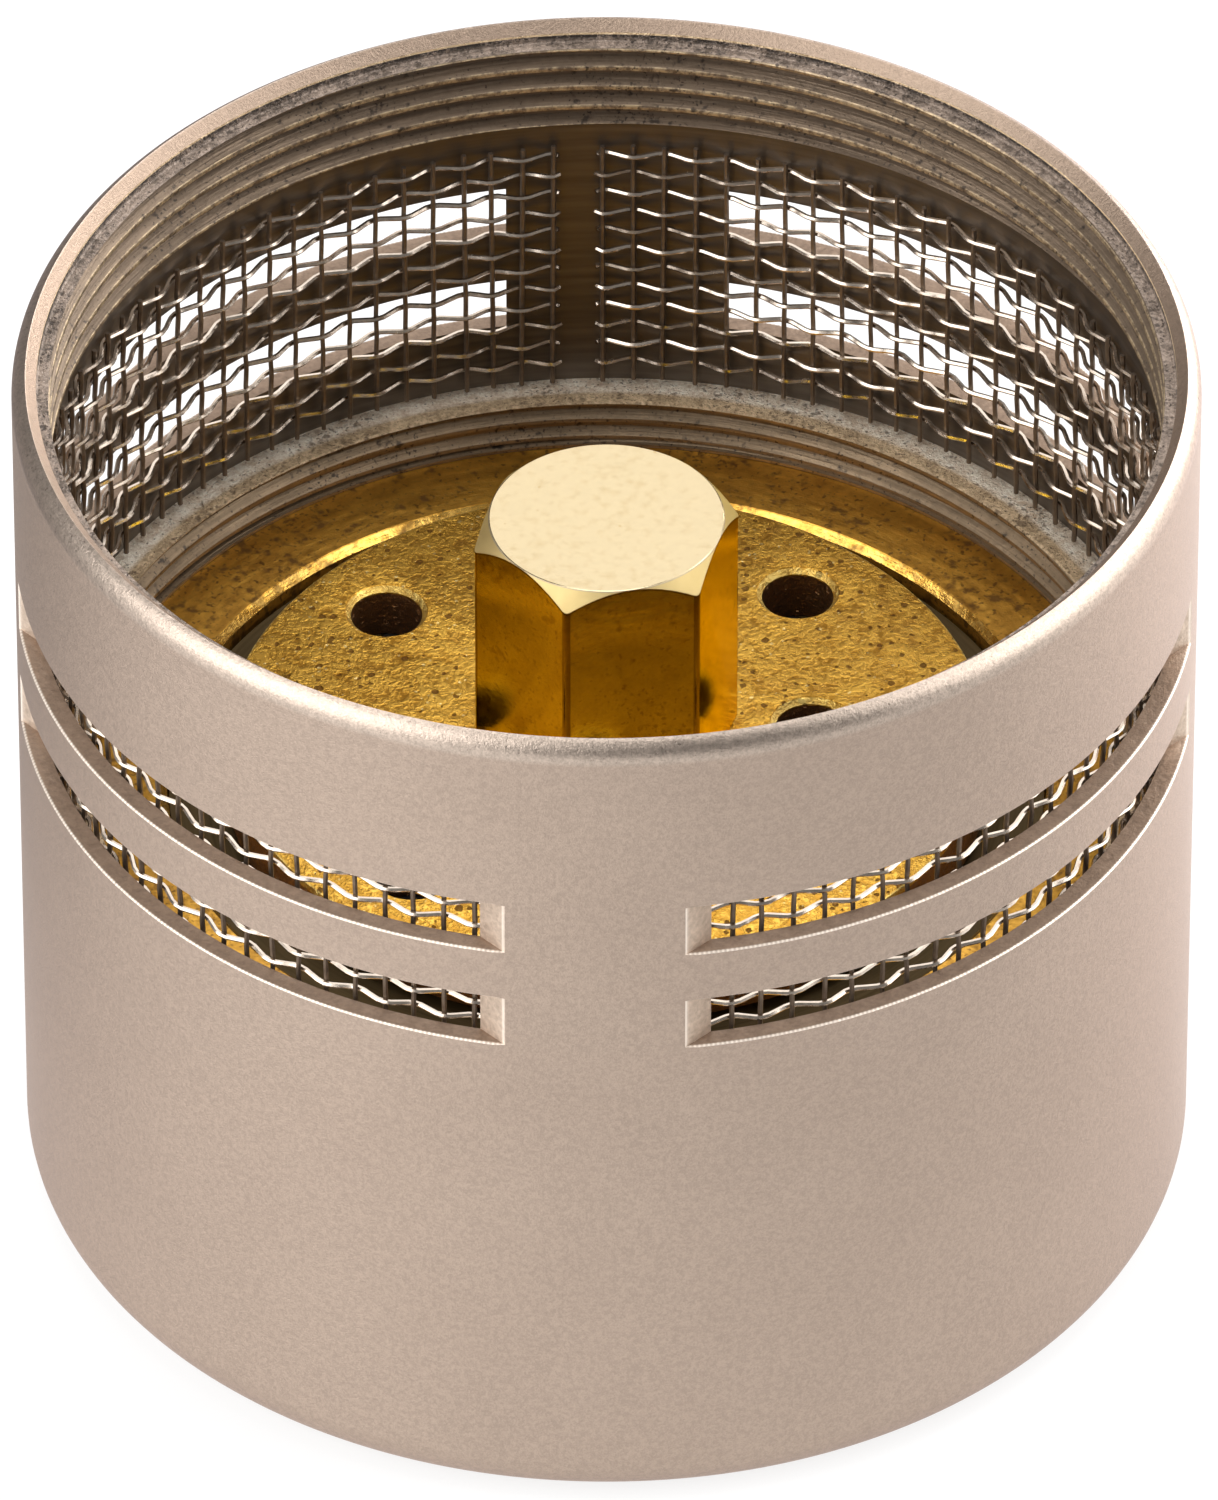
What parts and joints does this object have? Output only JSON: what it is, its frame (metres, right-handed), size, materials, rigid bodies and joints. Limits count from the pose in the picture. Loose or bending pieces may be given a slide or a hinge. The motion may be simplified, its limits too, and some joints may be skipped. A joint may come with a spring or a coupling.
{
  "type": "condenser microphone capsule",
  "caption": "Screw-on small-diaphragm condenser microphone capsule: slotted satin nickel housing, woven wire screens, brass cartridge with hexagonal contact post.",
  "frame": {"origin": "centre of the front (sound) face, which the part stands on", "axes": "+Z along the housing's axis from the front face to the rear threaded end; the lands between the sound slots lie on X and Y"},
  "size_m": [0.024, 0.024, 0.0198],
  "materials": {
    "satin_nickel": "satin nickel plate over brass, bead blasted, fine even grain",
    "steel_wire": "drawn stainless wire, woven",
    "black_cloth": "fine woven acoustic cloth",
    "aged_brass": "turned brass, browned and speckled with age",
    "matt_brass": "flat brass, dull and speckled",
    "bright_brass": "polished brass bar",
    "gold_film": "gold-coated polyester film",
    "clear_film": "polyester shim",
    "white_plastic": "turned white insulating plastic",
    "black_plastic": "turned dark insulating plastic"
  },
  "bodies": {
    "root": {"housing": "satin_nickel", "side_screen": "steel_wire", "front_screen": "steel_wire", "dust_screen": "black_cloth", "screen_ring": "satin_nickel", "capsule_body": "aged_brass", "clamp_collar": "aged_brass", "tension_ring": "aged_brass", "diaphragm": "gold_film", "spacer_ring": "clear_film", "backplate_insulator": "white_plastic", "backplate": "aged_brass", "rear_insulator": "black_plastic", "damping_disc": "black_cloth", "spacer_bush": "aged_brass", "centre_stud": "aged_brass", "rear_disc": "matt_brass", "contact_post": "bright_brass"}
  },
  "joints": []
}
